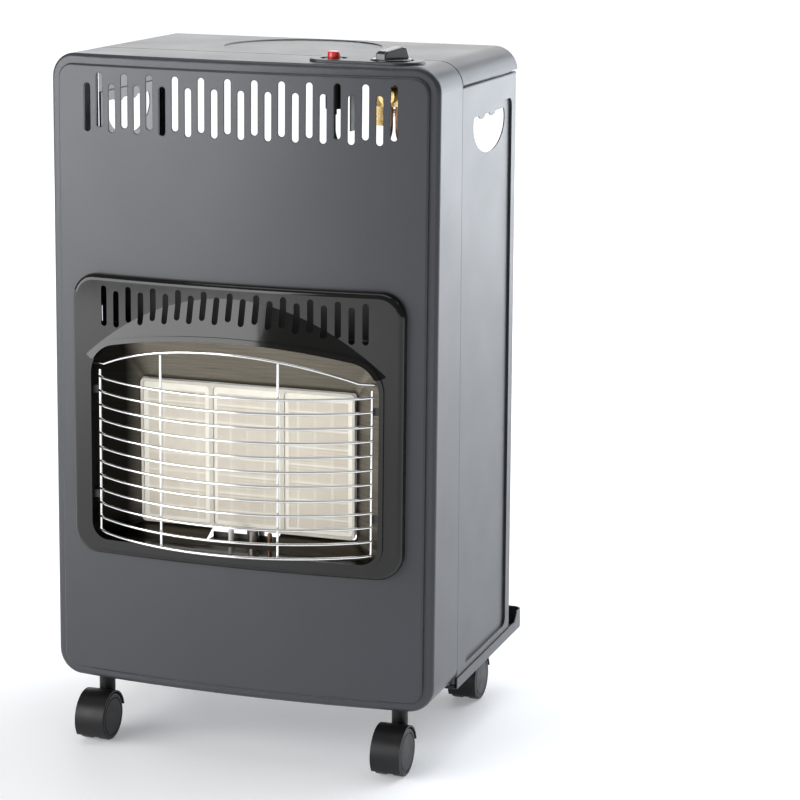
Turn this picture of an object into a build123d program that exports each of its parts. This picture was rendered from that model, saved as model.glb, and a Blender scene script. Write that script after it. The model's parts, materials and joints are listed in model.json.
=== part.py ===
from build123d import *
import math
import os

os.makedirs("parts", exist_ok=True)

# ---------------------------------------------------------------- driving sizes (mm)
# X to the right, Y to the back, Z up.  Origin: middle of the footprint, on the floor.
width = 420.0            # housing, lid and base, side to side
z_bottom = 71.0          # underside of the housing and of the base tray
z_top = 730.0            # top of the housing and of the lid
yr = -43.7               # rear plane of the front housing
corner_r = 26.0          # rounded corners of the housing outline
sheet = 1.2              # sheet steel
depth_low = 80.0         # side return of the housing at the bottom
depth_high = 70.0        # the same at the top: the front leans back a little
bow = 16.0               # how far the middle of the front stands out
rim = 10.0               # plain rim round the raised field
raise_h = 4.0            # height of the raised field
height = z_top - z_bottom
z_mid = (z_top + z_bottom) / 2
half = width / 2
lean = math.atan((depth_low - depth_high) / height)

panel_out = 208.5        # outer face of a side panel
panel_d0 = 1.5           # front edge of a side panel, behind the housing
panel_len = 191.5
panel_z0 = 75.0
panel_z1 = 703.5
flange = 8.5             # turned-in edge of a side panel
hinge_x = 203.5          # upright hinge axis of a side panel
hinge_d = 6.5
hinge_pin_r = 2.5

lid_d0 = 2.2
lid_len = 191.5
skirt_z = 706.0
lid_axis_d = 6.5
lid_axis_z = 713.0

base_d0 = 1.5
base_len = 236.9
base_lip = 12.0
base_rear_lip = 22.0

knob_x, button_x, ctl_d = 149.0, 87.5, -41.0
caster_x = 166.0
front_stem_d, rear_stem_d = -55.0, 200.0
wheel_r, trail = 25.0, 20.0

burner_d, burner_z = -63.5, 318.0     # front plane and middle height of the burner
surround_z = 359.5


def side_sign(name):
    return -1.0 if name == "left" else 1.0


def at_depth(d):
    """Upright plane facing forwards, at depth d behind the housing's rear plane."""
    return Plane.XZ.offset(-(yr + d))


def lean_plane(z, out=0.0, tip=0.0):
    """Level plane that follows the lean of the front, at height z."""
    y = yr - depth_low + (z - z_bottom) * math.tan(lean) - out
    a = lean + tip
    return Plane(origin=(0, y, z), x_dir=(1, 0, 0), z_dir=(0, math.sin(a), math.cos(a)))


def bow_radius(sag, half_span):
    return (half_span * half_span + sag * sag) / (2 * sag)


def front_y(x, z, out):
    """Y of the bowed front surface that stands out by out from the rim's own surface."""
    r = bow_radius(bow, half)
    sag = bow - (r - math.sqrt(r * r - x * x))
    return yr - depth_low + (z - z_bottom) * math.tan(lean) - sag - out


def bow_line(out, sag=bow, span=half, reach=215.0):
    """End, middle and end of a bowed front line, drawn in a lean plane."""
    r = bow_radius(sag, span)
    y_end = -(sag + out) + (r - math.sqrt(r * r - reach * reach))
    return (-reach, y_end), (0, -(sag + out)), (reach, y_end)


def behind(line, back=140.0):
    """The other three sides of the outline of everything behind a bowed front line."""
    left, _, right = line
    return right, (right[0], back), (left[0], back), left


# ---------------------------------------------------------------- front housing
def housing_form(inset):
    """The housing as a filled form, its walls moved in by inset."""
    with BuildPart() as field:
        with BuildSketch(at_depth(0.0 if inset == 0 else 5.0)):
            with Locations((0, z_mid)):
                RectangleRounded(width - 2 * (rim + inset), height - 2 * (rim + inset), corner_r - rim - inset)
        extrude(amount=110)
        with BuildSketch(lean_plane(z_bottom - 6)):
            line = bow_line(raise_h - inset)
            with BuildLine():
                ThreePointArc(*line)
                Polyline(*behind(line))
            make_face()
        extrude(amount=height + 12, mode=Mode.INTERSECT)
        front = field.faces().filter_by(GeomType.CYLINDER).sort_by(Axis.Y)[0]
        fillet(front.edges(), 2.6)
    with BuildPart() as form:
        with BuildSketch(at_depth(0.0 if inset == 0 else 5.0)):
            with Locations((0, z_mid)):
                RectangleRounded(width - 2 * inset, height - 2 * inset, corner_r - inset)
        extrude(amount=110)
        with BuildSketch(lean_plane(z_bottom - 6)):
            line = bow_line(-inset)
            with BuildLine():
                ThreePointArc(*line)
                Polyline(*behind(line))
            make_face()
        extrude(amount=height + 12, mode=Mode.INTERSECT)
        front = form.faces().filter_by(GeomType.CYLINDER).sort_by(Axis.Y)[0]
        fillet(front.edges(), 5.0 - inset * 0.8)
        add(field.part)
    return form.part


housing_outer = housing_form(0)
housing_inner = housing_form(sheet)

slot_w = 7.0
slot_pitch = 14.38
high_slots = [((n - 12.5) * slot_pitch, 684.5, 55.0) for n in range(2, 25, 2)]
low_slots = [((n - 12.5) * slot_pitch, 676.5, 49.0) for n in range(1, 25, 2)]

with BuildPart() as front_panel:
    add(housing_outer)
    add(housing_inner, mode=Mode.SUBTRACT)
    # top row of vent slots
    with BuildSketch(at_depth(-60)):
        for x, z, length in high_slots + low_slots:
            with Locations((x, z)):
                SlotOverall(length, slot_w, rotation=90)
    extrude(amount=70, mode=Mode.SUBTRACT)
    # cut-out for the burner
    with BuildSketch(at_depth(-60)):
        with Locations((0, surround_z)):
            RectangleRounded(346, 280, 24)
    extrude(amount=70, mode=Mode.SUBTRACT)
    # holes in the top for the knob and the button
    with BuildSketch(Plane.XY.offset(z_top - 6)):
        with Locations((knob_x, yr + ctl_d)):
            Circle(20.4)
        with Locations((button_x, yr + ctl_d)):
            Circle(7.2)
    extrude(amount=12, mode=Mode.SUBTRACT)
    # holes in the floor for the front caster sockets
    with BuildSketch(Plane.XY.offset(z_bottom - 2)):
        with Locations((-caster_x, yr + front_stem_d), (caster_x, yr + front_stem_d)):
            Circle(7.0)
    extrude(amount=5, mode=Mode.SUBTRACT)
    slot_edges = ShapeList(
        e for e in front_panel.edges()
        if 640 < (e @ 0.5).Z < 716 and abs((e @ 0.5).X) < 171
        and abs((e @ 0.5).Y - front_y((e @ 0.5).X, (e @ 0.5).Z, raise_h)) < 0.2
        and e.length < 70)
    chamfer(slot_edges, 0.55)
front_panel.part.label = "front_panel"
export_step(front_panel.part, "parts/front_panel.step")

# ---------------------------------------------------------------- inner frame of the housing
for side in ("left", "right"):
    s = side_sign(side)
    with BuildPart() as post:
        with BuildSketch(Plane.XY.offset(110)):
            with BuildLine():
                Polyline((s * 208.8, yr - 39), (s * 207.3, yr - 39), (s * 207.3, yr - 3.5),
                         (s * 190, yr - 3.5), (s * 190, yr - 2.0), (s * 208.8, yr - 2.0), close=True)
            make_face()
        extrude(amount=594)
        post_holes = [(s * 198.5, z) for z in (150.0, 420.0, 640.0)]
        with BuildSketch(at_depth(0)):
            with Locations(*post_holes):
                Circle(1.6)
        extrude(amount=6, mode=Mode.SUBTRACT)
    post.part.label = "frame_post_" + side
    export_step(post.part, "parts/frame_post_" + side + ".step")

with BuildPart() as frame_cross_members:
    # lower member with its foot, then the upper strip
    with BuildSketch(at_depth(-2.0)):
        with Locations((0, 92.3)):
            Rectangle(368, 33.4)
        with Locations((0, 74)):
            Rectangle(280, 3.6)
        with Locations((-147, 79), (147, 79)):
            Rectangle(6, 18, mode=Mode.SUBTRACT)
    extrude(amount=1.5)
    with BuildSketch(Plane.XY.offset(z_bottom + sheet)):
        with Locations((0, yr - 11)):
            Rectangle(280, 18)
    extrude(amount=1.5)
    with BuildSketch(at_depth(-2.0)):
        with Locations((0, 721.4)):
            Rectangle(330, 14.8)
    extrude(amount=1.5)
frame_cross_members.part.label = "frame_cross_members"
export_step(frame_cross_members.part, "parts/frame_cross_members.step")

with BuildPart() as crossbars:
    with BuildSketch(at_depth(-22.5)):
        with Locations((0, burner_z - 56), (0, burner_z + 56)):
            Rectangle(2 * 207.3, 16)
    extrude(amount=4.5)
crossbars.part.label = "burner_crossbars"
export_step(crossbars.part, "parts/burner_crossbars.step")

# ---------------------------------------------------------------- folding side panels
for side in ("left", "right"):
    s = side_sign(side)
    y0, y1 = yr + panel_d0, yr + panel_d0 + panel_len
    pz, ph = (panel_z0 + panel_z1) / 2, panel_z1 - panel_z0
    # the upright face, seen from outside: local x runs with Y, local y with Z
    skin = Plane(origin=(s * (panel_out - flange), 0, 0), x_dir=(0, s, 0), z_dir=(s, 0, 0))
    inner = Plane(origin=(s * (panel_out - flange - 1), 0, 0), x_dir=(0, s, 0), z_dir=(s, 0, 0))
    mid_y = s * (y0 + y1) / 2
    field_x, field_z = s * (yr + 105.75), 383.75
    with BuildPart() as side_panel:
        with BuildSketch(skin):
            with Locations((mid_y, pz)):
                Rectangle(panel_len, ph)
        extrude(amount=flange)
        outer_edges = side_panel.edges().filter_by(Axis.X, reverse=True)
        front_edge = side_panel.edges().filter_by(Axis.Z).filter_by(
            lambda e: abs(abs(e.center().X) - panel_out) < 0.1 and abs(e.center().Y - y0) < 0.1)
        fillet(front_edge, 4.95)
        face_edges = side_panel.faces().sort_by(Axis.X)[-1 if s > 0 else 0].edges()
        fillet(face_edges.filter_by(lambda e: e.center().Y > y0 + 6), 2.5)
        # hollow of the pan
        with BuildSketch(inner):
            with Locations((mid_y, pz)):
                RectangleRounded(panel_len - 2 * sheet, ph - 2 * sheet, 1.5)
        extrude(amount=flange + 1 - 3.7, mode=Mode.SUBTRACT)
        with BuildSketch(Plane(origin=(s * (panel_out - 3.9), 0, 0), x_dir=(0, s, 0), z_dir=(s, 0, 0))):
            with Locations((mid_y, pz)):
                RectangleRounded(panel_len - 2 * 3.2, ph - 2 * 3.2, 3.0)
            with Locations((field_x, field_z)):
                Rectangle(144.0, 589.0, mode=Mode.SUBTRACT)
        extrude(amount=2.7, mode=Mode.SUBTRACT)
        # pressed-in field
        with BuildSketch(Plane(origin=(s * (panel_out - 2.5), 0, 0), x_dir=(0, s, 0), z_dir=(s, 0, 0))):
            with Locations((field_x, field_z)):
                field_rect = Rectangle(141.5, 586.5)
            low = field_rect.vertices().group_by(Axis.Y)[0].sort_by(Axis.X)
            high = field_rect.vertices().group_by(Axis.Y)[-1]
            fillet(high + [low[-1 if s > 0 else 0]], 9)
            fillet(low[0 if s > 0 else -1], 2)
        extrude(amount=4, mode=Mode.SUBTRACT)
        # hand hole with two finger swells along its top
        hx, hz = s * (yr + 104.0), 658.0
        with BuildSketch(inner):
            with Locations((hx, hz)):
                Ellipse(54.4, 31)
            with Locations((hx, hz + 30.0)):
                Rectangle(140, 40, mode=Mode.SUBTRACT)
            with Locations((hx - s * 25, hz + 14.0), (hx + s * 11, hz + 14.0)):
                Ellipse(13, 8.0, mode=Mode.SUBTRACT)
        extrude(amount=flange + 4, mode=Mode.SUBTRACT)
        # hinge holes in the top and bottom edges
        with BuildSketch(Plane.XY.offset(panel_z0 - 2)):
            with Locations((s * hinge_x, yr + hinge_d)):
                Circle(hinge_pin_r + 0.06)
        extrude(amount=ph + 4, mode=Mode.SUBTRACT)
    side_panel.part.label = "side_panel_" + side
    export_step(side_panel.part, "parts/side_panel_" + side + ".step")

# upper and lower hinge brackets of the side panels
with BuildPart() as side_hinge_brackets:
    for s in (-1.0, 1.0):
        with BuildSketch(Plane.XY.offset(panel_z1 + 0.5)):
            with Locations((s * 202.0, yr - 4.0)):
                Rectangle(11, 20)
            with Locations((s * hinge_x, yr + hinge_d)):
                Circle(4.7)
            with Locations((s * hinge_x, yr + hinge_d)):
                Circle(hinge_pin_r, mode=Mode.SUBTRACT)
        extrude(amount=1.2)
        with BuildSketch(Plane.XY.offset(z_bottom + sheet)):
            with Locations((s * 158.0, yr - 5.0)):
                Rectangle(14, 14)
            with Locations((s * 177.0, yr + 6.25)):
                Rectangle(52, 9.0)
            with Locations((s * hinge_x, yr + hinge_d)):
                Circle(4.7)
            with Locations((s * hinge_x, yr + hinge_d)):
                Circle(hinge_pin_r, mode=Mode.SUBTRACT)
        extrude(amount=2.2)
side_hinge_brackets.part.label = "side_hinge_brackets"
export_step(side_hinge_brackets.part, "parts/side_hinge_brackets.step")

# ---------------------------------------------------------------- lid
with BuildPart() as lid:
    with BuildSketch(at_depth(lid_d0)):
        with Locations((0, z_top - 60)):
            RectangleRounded(width, 120, corner_r)
        with Locations((0, skirt_z - 60)):
            Rectangle(width + 10, 120, mode=Mode.SUBTRACT)
    extrude(amount=-lid_len)
    rear_edges = lid.faces().sort_by(Axis.Y)[-1].edges().filter_by(lambda e: e.center().Z > skirt_z + 1)
    fillet(rear_edges, 3.0)
    # hollow, with a narrow turned-in edge left at the front and the rear
    with BuildSketch(at_depth(lid_d0 + sheet)):
        with Locations((0, z_top - 60)):
            RectangleRounded(width - 2 * sheet, 120 - 2 * sheet, corner_r - sheet)
        with Locations((0, skirt_z - 60 - 1)):
            Rectangle(width + 10, 120 + 0, mode=Mode.SUBTRACT)
    extrude(amount=-(lid_len - 2 * sheet), mode=Mode.SUBTRACT)
    with BuildSketch(at_depth(lid_d0 - 5)):
        with Locations((0, z_top - 60)):
            RectangleRounded(width - 2 * 9, 120 - 2 * 9, corner_r - 9)
        with Locations((0, skirt_z - 61)):
            Rectangle(width + 10, 120, mode=Mode.SUBTRACT)
    extrude(amount=-(lid_len + 10), mode=Mode.SUBTRACT)
    with BuildSketch(Plane.XY.offset(skirt_z - 3)):
        with Locations((0, yr + lid_d0 + lid_len / 2)):
            Rectangle(width - 2 * 9, lid_len + 10)
    extrude(amount=5, mode=Mode.SUBTRACT)
    # round pressed dish in the top
    with BuildSketch(Plane.XY.offset(z_top - 2.4)):
        with Locations((0, yr + 100)):
            Circle(85.5)
    extrude(amount=1.2)
    with BuildSketch(Plane.XY.offset(z_top - 1.2)):
        with Locations((0, yr + 100)):
            Circle(83.5)
    extrude(amount=3, mode=Mode.SUBTRACT)
    chamfer(lid.edges().filter_by(GeomType.CIRCLE).filter_by(
        lambda e: abs(e.radius - 83.5) < 0.01 and abs(e.center().Z - z_top) < 0.01), 0.9)
    # hinge lugs
    for s in (-1.0, 1.0):
        with BuildSketch(Plane.YZ.offset(s * 190.0)):
            with BuildLine():
                Polyline((yr + lid_d0 + 0.4, 728.6), (yr + lid_d0 + 0.4, 710), (yr + 4, 708.5),
                         (yr + 9.5, 708.5), (yr + 18, 720), (yr + 18, 728.6), close=True)
            make_face()
        extrude(amount=0.9, both=True)
        with BuildSketch(Plane.YZ.offset(s * 190.0)):
            with Locations((yr + lid_axis_d, lid_axis_z)):
                Circle(hinge_pin_r + 0.06)
        extrude(amount=2, both=True, mode=Mode.SUBTRACT)
lid.part.label = "lid"
export_step(lid.part, "parts/lid.step")

with BuildPart() as lid_hinge_brackets:
    for s in (-1.0, 1.0):
        with BuildSketch(Plane.YZ.offset(s * 182.5)):
            with BuildLine():
                Polyline((yr - 16, 728.8), (yr - 16, 712), (yr - 4, 708.5), (yr + 9, 708.5), (yr + 10.5, 713),
                         (yr + 9, 717.5), (yr - 1, 717.5), (yr - 1, 728.8), close=True)
            make_face()
            with Locations((yr + lid_axis_d, lid_axis_z)):
                Circle(hinge_pin_r, mode=Mode.SUBTRACT)
        extrude(amount=1.25, both=True)
lid_hinge_brackets.part.label = "lid_hinge_brackets"
export_step(lid_hinge_brackets.part, "parts/lid_hinge_brackets.step")

# ---------------------------------------------------------------- base tray
with BuildPart() as base_tray:
    by = yr + base_d0 + base_len / 2
    with BuildSketch(Plane.XY.offset(z_bottom)):
        with Locations((0, by)):
            Rectangle(width, base_len)
    extrude(amount=base_rear_lip)
    rear_corners = base_tray.edges().filter_by(Axis.Z).sort_by(Axis.Y)[-2:]
    fillet(rear_corners, 9)
    # lower side lips, rising to the rear lip
    with BuildSketch(Plane.YZ):
        with BuildLine():
            Polyline((yr - 5, z_bottom + base_lip), (yr + base_len - 28, z_bottom + base_lip),
                     (yr + base_len - 16, z_bottom + base_rear_lip + 2), (yr - 5, z_bottom + base_rear_lip + 2),
                     close=True)
        make_face()
    extrude(amount=half + 5, both=True, mode=Mode.SUBTRACT)
    low_edges = base_tray.faces().sort_by(Axis.Z)[0].edges().filter_by(lambda e: e.center().Y > yr + base_d0 + 1)
    fillet(low_edges, 1.6)
    with BuildSketch(Plane.XY.offset(z_bottom + sheet)) as tray_floor:
        with Locations((0, by - 10 - sheet)):
            Rectangle(width - 2 * sheet, base_len + 20)
        fillet(tray_floor.vertices().sort_by(Axis.Y)[-2:], 7.8)
    extrude(amount=40, mode=Mode.SUBTRACT)
    # hinge lugs that reach into the housing
    for s in (-1.0, 1.0):
        with BuildSketch(Plane.YZ.offset(s * 147.0)):
            with BuildLine():
                Polyline((yr - 14, 72.7), (yr + 0.6, 72.7), (yr + 1.6, 71.6), (yr + 20, 71.6),
                         (yr + 16, 74.5), (yr - 0.6, 74.5), (yr - 3, 85), (yr - 14, 85), close=True)
            make_face()
        extrude(amount=1.0, both=True)
        with BuildSketch(Plane.YZ.offset(s * 147.0)):
            with Locations((yr - 9, 79.5)):
                Circle(2.55)
        extrude(amount=3, both=True, mode=Mode.SUBTRACT)
    # raised round seat for the gas cylinder
    with BuildSketch(Plane.XY.offset(z_bottom + 0.6)):
        with Locations((0, yr + 120)):
            Circle(100)
    extrude(amount=sheet + 0.6)
    # holes for the rear caster sockets
    with BuildSketch(Plane.XY.offset(z_bottom - 2)):
        with Locations((-caster_x, yr + rear_stem_d), (caster_x, yr + rear_stem_d)):
            Circle(7.0)
    extrude(amount=5, mode=Mode.SUBTRACT)
base_tray.part.label = "base_tray"
export_step(base_tray.part, "parts/base_tray.step")

with BuildPart() as base_hinge_brackets:
    for s in (-1.0, 1.0):
        with BuildSketch(Plane.YZ.offset(s * 143.0)):
            with Locations((yr - 10.0, 80.1)):
                Rectangle(13, 12.8)
            with Locations((yr - 9, 79.5)):
                Circle(2.5, mode=Mode.SUBTRACT)
        extrude(amount=1.5, both=True)
base_hinge_brackets.part.label = "base_hinge_brackets"
export_step(base_hinge_brackets.part, "parts/base_hinge_brackets.step")

# ---------------------------------------------------------------- hinge pins
with BuildPart() as hinge_pins:
    for s in (-1.0, 1.0):
        # upright pins of the side panels
        with BuildSketch(Plane.XY.offset(panel_z1 - 12)):
            with Locations((s * hinge_x, yr + hinge_d)):
                Circle(hinge_pin_r)
        extrude(amount=13.7)
        with BuildSketch(Plane.XY.offset(z_bottom + sheet)):
            with Locations((s * hinge_x, yr + hinge_d)):
                Circle(hinge_pin_r)
        extrude(amount=14.4)
        # cross pins of the lid and of the base tray
        with BuildSketch(Plane.YZ.offset(s * 186.4)):
            with Locations((yr + lid_axis_d, lid_axis_z)):
                Circle(hinge_pin_r)
        extrude(amount=5.6, both=True)
        with BuildSketch(Plane.YZ.offset(s * 145.5)):
            with Locations((yr - 9, 79.5)):
                Circle(2.5)
        extrude(amount=5.0, both=True)
hinge_pins.part.label = "hinge_pins"
export_step(hinge_pins.part, "parts/hinge_pins.step")

# ---------------------------------------------------------------- burner surround
open_w, open_z0, open_side, open_mid = 315.0, 229.0, 430.0, 450.0


def arch_solid(grow, d0, length):
    with BuildPart() as p:
        with BuildSketch(at_depth(d0)) as sk:
            hw = open_w / 2 + grow
            with BuildLine():
                Line((-hw, open_z0 - grow), (hw, open_z0 - grow))
                Line((hw, open_z0 - grow), (hw, open_side + grow))
                ThreePointArc((hw, open_side + grow), (0, open_mid + grow), (-hw, open_side + grow))
                Line((-hw, open_side + grow), (-hw, open_z0 - grow))
            make_face()
            fillet(sk.vertices().group_by(Axis.Y)[0], 18 + grow)
            fillet(sk.vertices().sort_by(Axis.Y)[-2:], 33 + grow)
        extrude(amount=length)
    return p.part


surround_out = 11.0


def surround_form(inset, proud=0.0, rounded=True):
    """Filled form of the surround: a bowed slab with a visor that leans out towards the arch."""
    with BuildPart() as slab:
        with BuildSketch(at_depth(-67)):
            with Locations((0, surround_z)):
                RectangleRounded(362 - 2 * inset, 295 - 2 * inset, 27 - inset)
        extrude(amount=80)
        with BuildSketch(lean_plane(150)):
            line = bow_line(raise_h + surround_out - inset + proud)
            with BuildLine():
                ThreePointArc(*line)
                Polyline(*behind(line))
            make_face()
        extrude(amount=400, mode=Mode.INTERSECT)
        if rounded:
            front = slab.faces().filter_by(GeomType.CYLINDER).sort_by(Axis.Y)[0]
            fillet(front.edges(), 6.0 - inset)
    with BuildPart() as visor:
        with BuildSketch(at_depth(-67)):
            with Locations((0, 462)):
                RectangleRounded(336 - 2 * inset, 84 - 2 * inset, 12)
        extrude(amount=80)
        with BuildSketch(lean_plane(407, out=raise_h + 39.0 - inset + proud - bow, tip=0.262)):
            line = bow_line(0.0, sag=26.0, span=160.0, reach=200.0)
            with BuildLine():
                ThreePointArc(*line)
                Polyline(*behind(line))
            make_face()
        extrude(amount=140, mode=Mode.INTERSECT)
    with BuildPart() as both:
        add(slab.part)
        add(visor.part)
    return both.part


surround_outer = surround_form(0)
surround_inner = surround_form(sheet)
surround_bead = surround_form(0, proud=2.6, rounded=False)
arch_hole = arch_solid(0, -55, 100)
arch_wall = arch_solid(sheet, -87, 90)
arch_bead = arch_solid(4.6, -75, 90)

surround_slots = []
for n in range(1, 22):
    x = (n - 11) * 14.25
    top = (498.5 if n % 2 == 1 else 493.5) - 2.5 * (x / 142.5) ** 2
    low = 470.0 - 16.0 * (x / 142.5) ** 2 - (3.5 if n % 2 == 0 else 0.0)
    surround_slots.append((x, (top + low) / 2, top - low))

with BuildPart() as bead:
    add(arch_bead)
    add(surround_bead, mode=Mode.INTERSECT)
    add(surround_inner, mode=Mode.SUBTRACT)

with BuildPart() as wall:
    add(arch_wall)
    add(surround_bead, mode=Mode.INTERSECT)

with BuildPart() as burner_surround:
    add(surround_outer)
    add(surround_inner, mode=Mode.SUBTRACT)
    add(bead.part)
    add(housing_outer, mode=Mode.SUBTRACT)
    add(wall.part)
    add(arch_hole, mode=Mode.SUBTRACT)
    with BuildSketch(at_depth(-75)):
        for x, z, length in surround_slots:
            with Locations((x, z)):
                SlotOverall(length, 6.5, rotation=90)
    extrude(amount=70, mode=Mode.SUBTRACT)
burner_surround.part.label = "burner_surround"
export_step(burner_surround.part, "parts/burner_surround.step")

# ---------------------------------------------------------------- reflector funnel round the burner
with BuildPart() as reflector:
    with BuildSketch(at_depth(burner_d - 23.3)):
        with Locations((0, burner_z + 24)):
            RectangleRounded(322, 230, 12)
    with BuildSketch(at_depth(burner_d + 4.5)):
        with Locations((0, burner_z)):
            RectangleRounded(241.0, 156.6, 5)
    loft()
    with BuildSketch(at_depth(burner_d - 23.3)):
        with Locations((0, burner_z + 24)):
            RectangleRounded(320, 228, 11)
    with BuildSketch(at_depth(burner_d + 4.5)):
        with Locations((0, burner_z)):
            RectangleRounded(239.0, 154.6, 4)
    loft(mode=Mode.SUBTRACT)
    # gap for the pilot, cut through the lower wall
    with BuildSketch(Plane.XY.offset(215)):
        with Locations((-2, yr - 69)):
            Rectangle(76, 22)
    extrude(amount=40, mode=Mode.SUBTRACT)
reflector.part.label = "reflector"
export_step(reflector.part, "parts/reflector.step")

# ---------------------------------------------------------------- burner
plaque_x = (-78.8, 0.0, 78.8)
plaque_w, plaque_h, plaque_z = 73.6, 146.0, burner_z
with BuildPart() as plaque_frame:
    with BuildSketch(at_depth(burner_d + 2.0)):
        with Locations((0, plaque_z)):
            RectangleRounded(237.2, 153.0, 5)
        with Locations(*[(x, plaque_z) for x in plaque_x]):
            RectangleRounded(plaque_w + 0.6, plaque_h + 0.6, 4, mode=Mode.SUBTRACT)
    extrude(amount=2.0)
plaque_frame.part.label = "plaque_frame"
export_step(plaque_frame.part, "parts/plaque_frame.step")

for x, tag in zip(plaque_x, ("left", "middle", "right")):
    with BuildPart() as plaque:
        with BuildSketch(at_depth(burner_d + 14.0)):
            with Locations((x, plaque_z)):
                RectangleRounded(plaque_w, plaque_h, 3.5)
        extrude(amount=13)
    plaque.part.label = "plaque_" + tag
    export_step(plaque.part, "parts/plaque_" + tag + ".step")
with BuildPart() as plenums:
    for x in plaque_x:
        with BuildSketch(at_depth(burner_d + 36.5)):
            with Locations((x, plaque_z)):
                RectangleRounded(77.2, 151, 6)
        extrude(amount=34.5)
        with BuildSketch(at_depth(burner_d + 34.5)):
            with Locations((x, plaque_z)):
                RectangleRounded(70.6, 142, 4)
        extrude(amount=40, mode=Mode.SUBTRACT)
        with BuildSketch(at_depth(burner_d + 14.0)):
            with Locations((x, plaque_z)):
                RectangleRounded(plaque_w + 0.2, plaque_h + 0.2, 3.6)
        extrude(amount=40, mode=Mode.SUBTRACT)
        with BuildSketch(Plane.XY.offset(237)):
            with Locations((x, yr - 39)):
                Circle(8.5)
        extrude(amount=12, mode=Mode.SUBTRACT)
plenums.part.label = "burner_plenums"
export_step(plenums.part, "parts/burner_plenums.step")

with BuildPart() as venturi:
    for x in plaque_x:
        with BuildSketch(Plane.XY.offset(182)):
            with Locations((x, yr - 39)):
                Circle(11)
                Circle(9.5, mode=Mode.SUBTRACT)
        with BuildSketch(Plane.XY.offset(202)):
            with Locations((x, yr - 39)):
                Circle(9.5)
                Circle(8.0, mode=Mode.SUBTRACT)
        extrude(amount=40.5)
        with BuildSketch(Plane.XY.offset(182)):
            with Locations((x, yr - 39)):
                Circle(11.5)
                Circle(8.0, mode=Mode.SUBTRACT)
        extrude(amount=20)
venturi.part.label = "venturi_tubes"
export_step(venturi.part, "parts/venturi_tubes.step")

with BuildPart() as manifold:
    with BuildSketch(Plane.YZ.offset(-104)):
        with Locations((yr - 39, 160)):
            Circle(7)
    extrude(amount=220)
    with BuildSketch(Plane.YZ.offset(-100)):
        with Locations((yr - 39, 160)):
            Circle(5)
    extrude(amount=212, mode=Mode.SUBTRACT)
manifold.part.label = "gas_manifold"
export_step(manifold.part, "parts/gas_manifold.step")

with BuildPart() as injectors:
    for x in plaque_x:
        with BuildSketch(Plane.XY.offset(167.0)):
            with Locations((x, yr - 39)):
                RegularPolygon(6.5, 6)
        extrude(amount=9)
        with BuildSketch(Plane.XY.offset(176.0)):
            with Locations((x, yr - 39)):
                Circle(4.0)
        extrude(amount=9, taper=10)
injectors.part.label = "injectors"
export_step(injectors.part, "parts/injectors.step")

with BuildPart() as manifold_brackets:
    with BuildSketch(at_depth(-38)):
        with Locations((-40, 113.4), (40, 113.4)):
            Rectangle(18, 79.2)
    extrude(amount=2)
    with BuildSketch(Plane.XY.offset(z_bottom + sheet)):
        with Locations((-40, yr - 46), (40, yr - 46)):
            Rectangle(18, 13)
    extrude(amount=1.6)
manifold_brackets.part.label = "manifold_brackets"
export_step(manifold_brackets.part, "parts/manifold_brackets.step")

# ---------------------------------------------------------------- pilot group
with BuildPart() as pilot_bracket:
    with BuildSketch(Plane.XY.offset(229.5)):
        with Locations((-2, yr - 69)):
            Rectangle(74, 20)
        with Locations((10, yr - 70)):
            Circle(3.1, mode=Mode.SUBTRACT)
        with Locations((-15, yr - 70)):
            Circle(3.1, mode=Mode.SUBTRACT)
        with Locations((28, yr - 70)):
            Circle(2.6, mode=Mode.SUBTRACT)
    extrude(amount=1.5)
    with BuildSketch(at_depth(-59)):
        with Locations((-2, 232)):
            Rectangle(74, 8)
    extrude(amount=1.5)
pilot_bracket.part.label = "pilot_bracket"
export_step(pilot_bracket.part, "parts/pilot_bracket.step")

with BuildPart() as pilot_burner:
    with BuildSketch(Plane.XY.offset(223)):
        with Locations((10, yr - 70)):
            Circle(3.0)
    extrude(amount=12)
    with BuildSketch(Plane.XY.offset(231.0)):
        with Locations((10, yr - 70)):
            Circle(5.5)
    extrude(amount=13)
    with BuildSketch(Plane.XY.offset(239)):
        with Locations((3, yr - 70)):
            Rectangle(14, 5)
    extrude(amount=7, mode=Mode.SUBTRACT)
pilot_burner.part.label = "pilot_burner"
export_step(pilot_burner.part, "parts/pilot_burner.step")

with BuildPart() as electrode:
    with BuildSketch(Plane.XY.offset(221)):
        with Locations((-15, yr - 70)):
            Circle(3.0)
    extrude(amount=21)
    with BuildSketch(Plane.XY.offset(242)):
        with Locations((-15, yr - 70)):
            Circle(1.1)
    extrude(amount=7)
    with BuildSketch(Plane.YZ.offset(-15)):
        with Locations((yr - 70, 248)):
            Circle(1.1)
    extrude(amount=14)
electrode.part.label = "spark_electrode"
export_step(electrode.part, "parts/spark_electrode.step")

with BuildPart() as thermocouple:
    with BuildSketch(Plane.XY.offset(219)):
        with Locations((28, yr - 70)):
            Circle(2.5)
    extrude(amount=24)
    fillet(thermocouple.edges().group_by(Axis.Z)[-1], 1.8)
thermocouple.part.label = "thermocouple"
export_step(thermocouple.part, "parts/thermocouple.step")


# ---------------------------------------------------------------- pipes and leads
def run_tube(points, radii, r):
    """Round tube along straight runs joined by tangent arcs."""
    pts = [(x, yr + d, z) for x, d, z in points]
    with BuildPart() as tube:
        with BuildLine() as path:
            FilletPolyline(*pts, radius=radii)
        start = path.wires()[0]
        with BuildSketch(Plane(origin=start @ 0, z_dir=start % 0)):
            Circle(r)
        sweep()
    return tube


main_pipe = run_tube([(157, -41, 688), (157, -41, 655), (180, -32, 620), (180, -32, 195), (158, -39, 160),
                      (116, -39, 160)], [30, 30, 25, 22], 4.0)
main_pipe.part.label = "gas_pipe"
export_step(main_pipe.part, "parts/gas_pipe.step")

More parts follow.
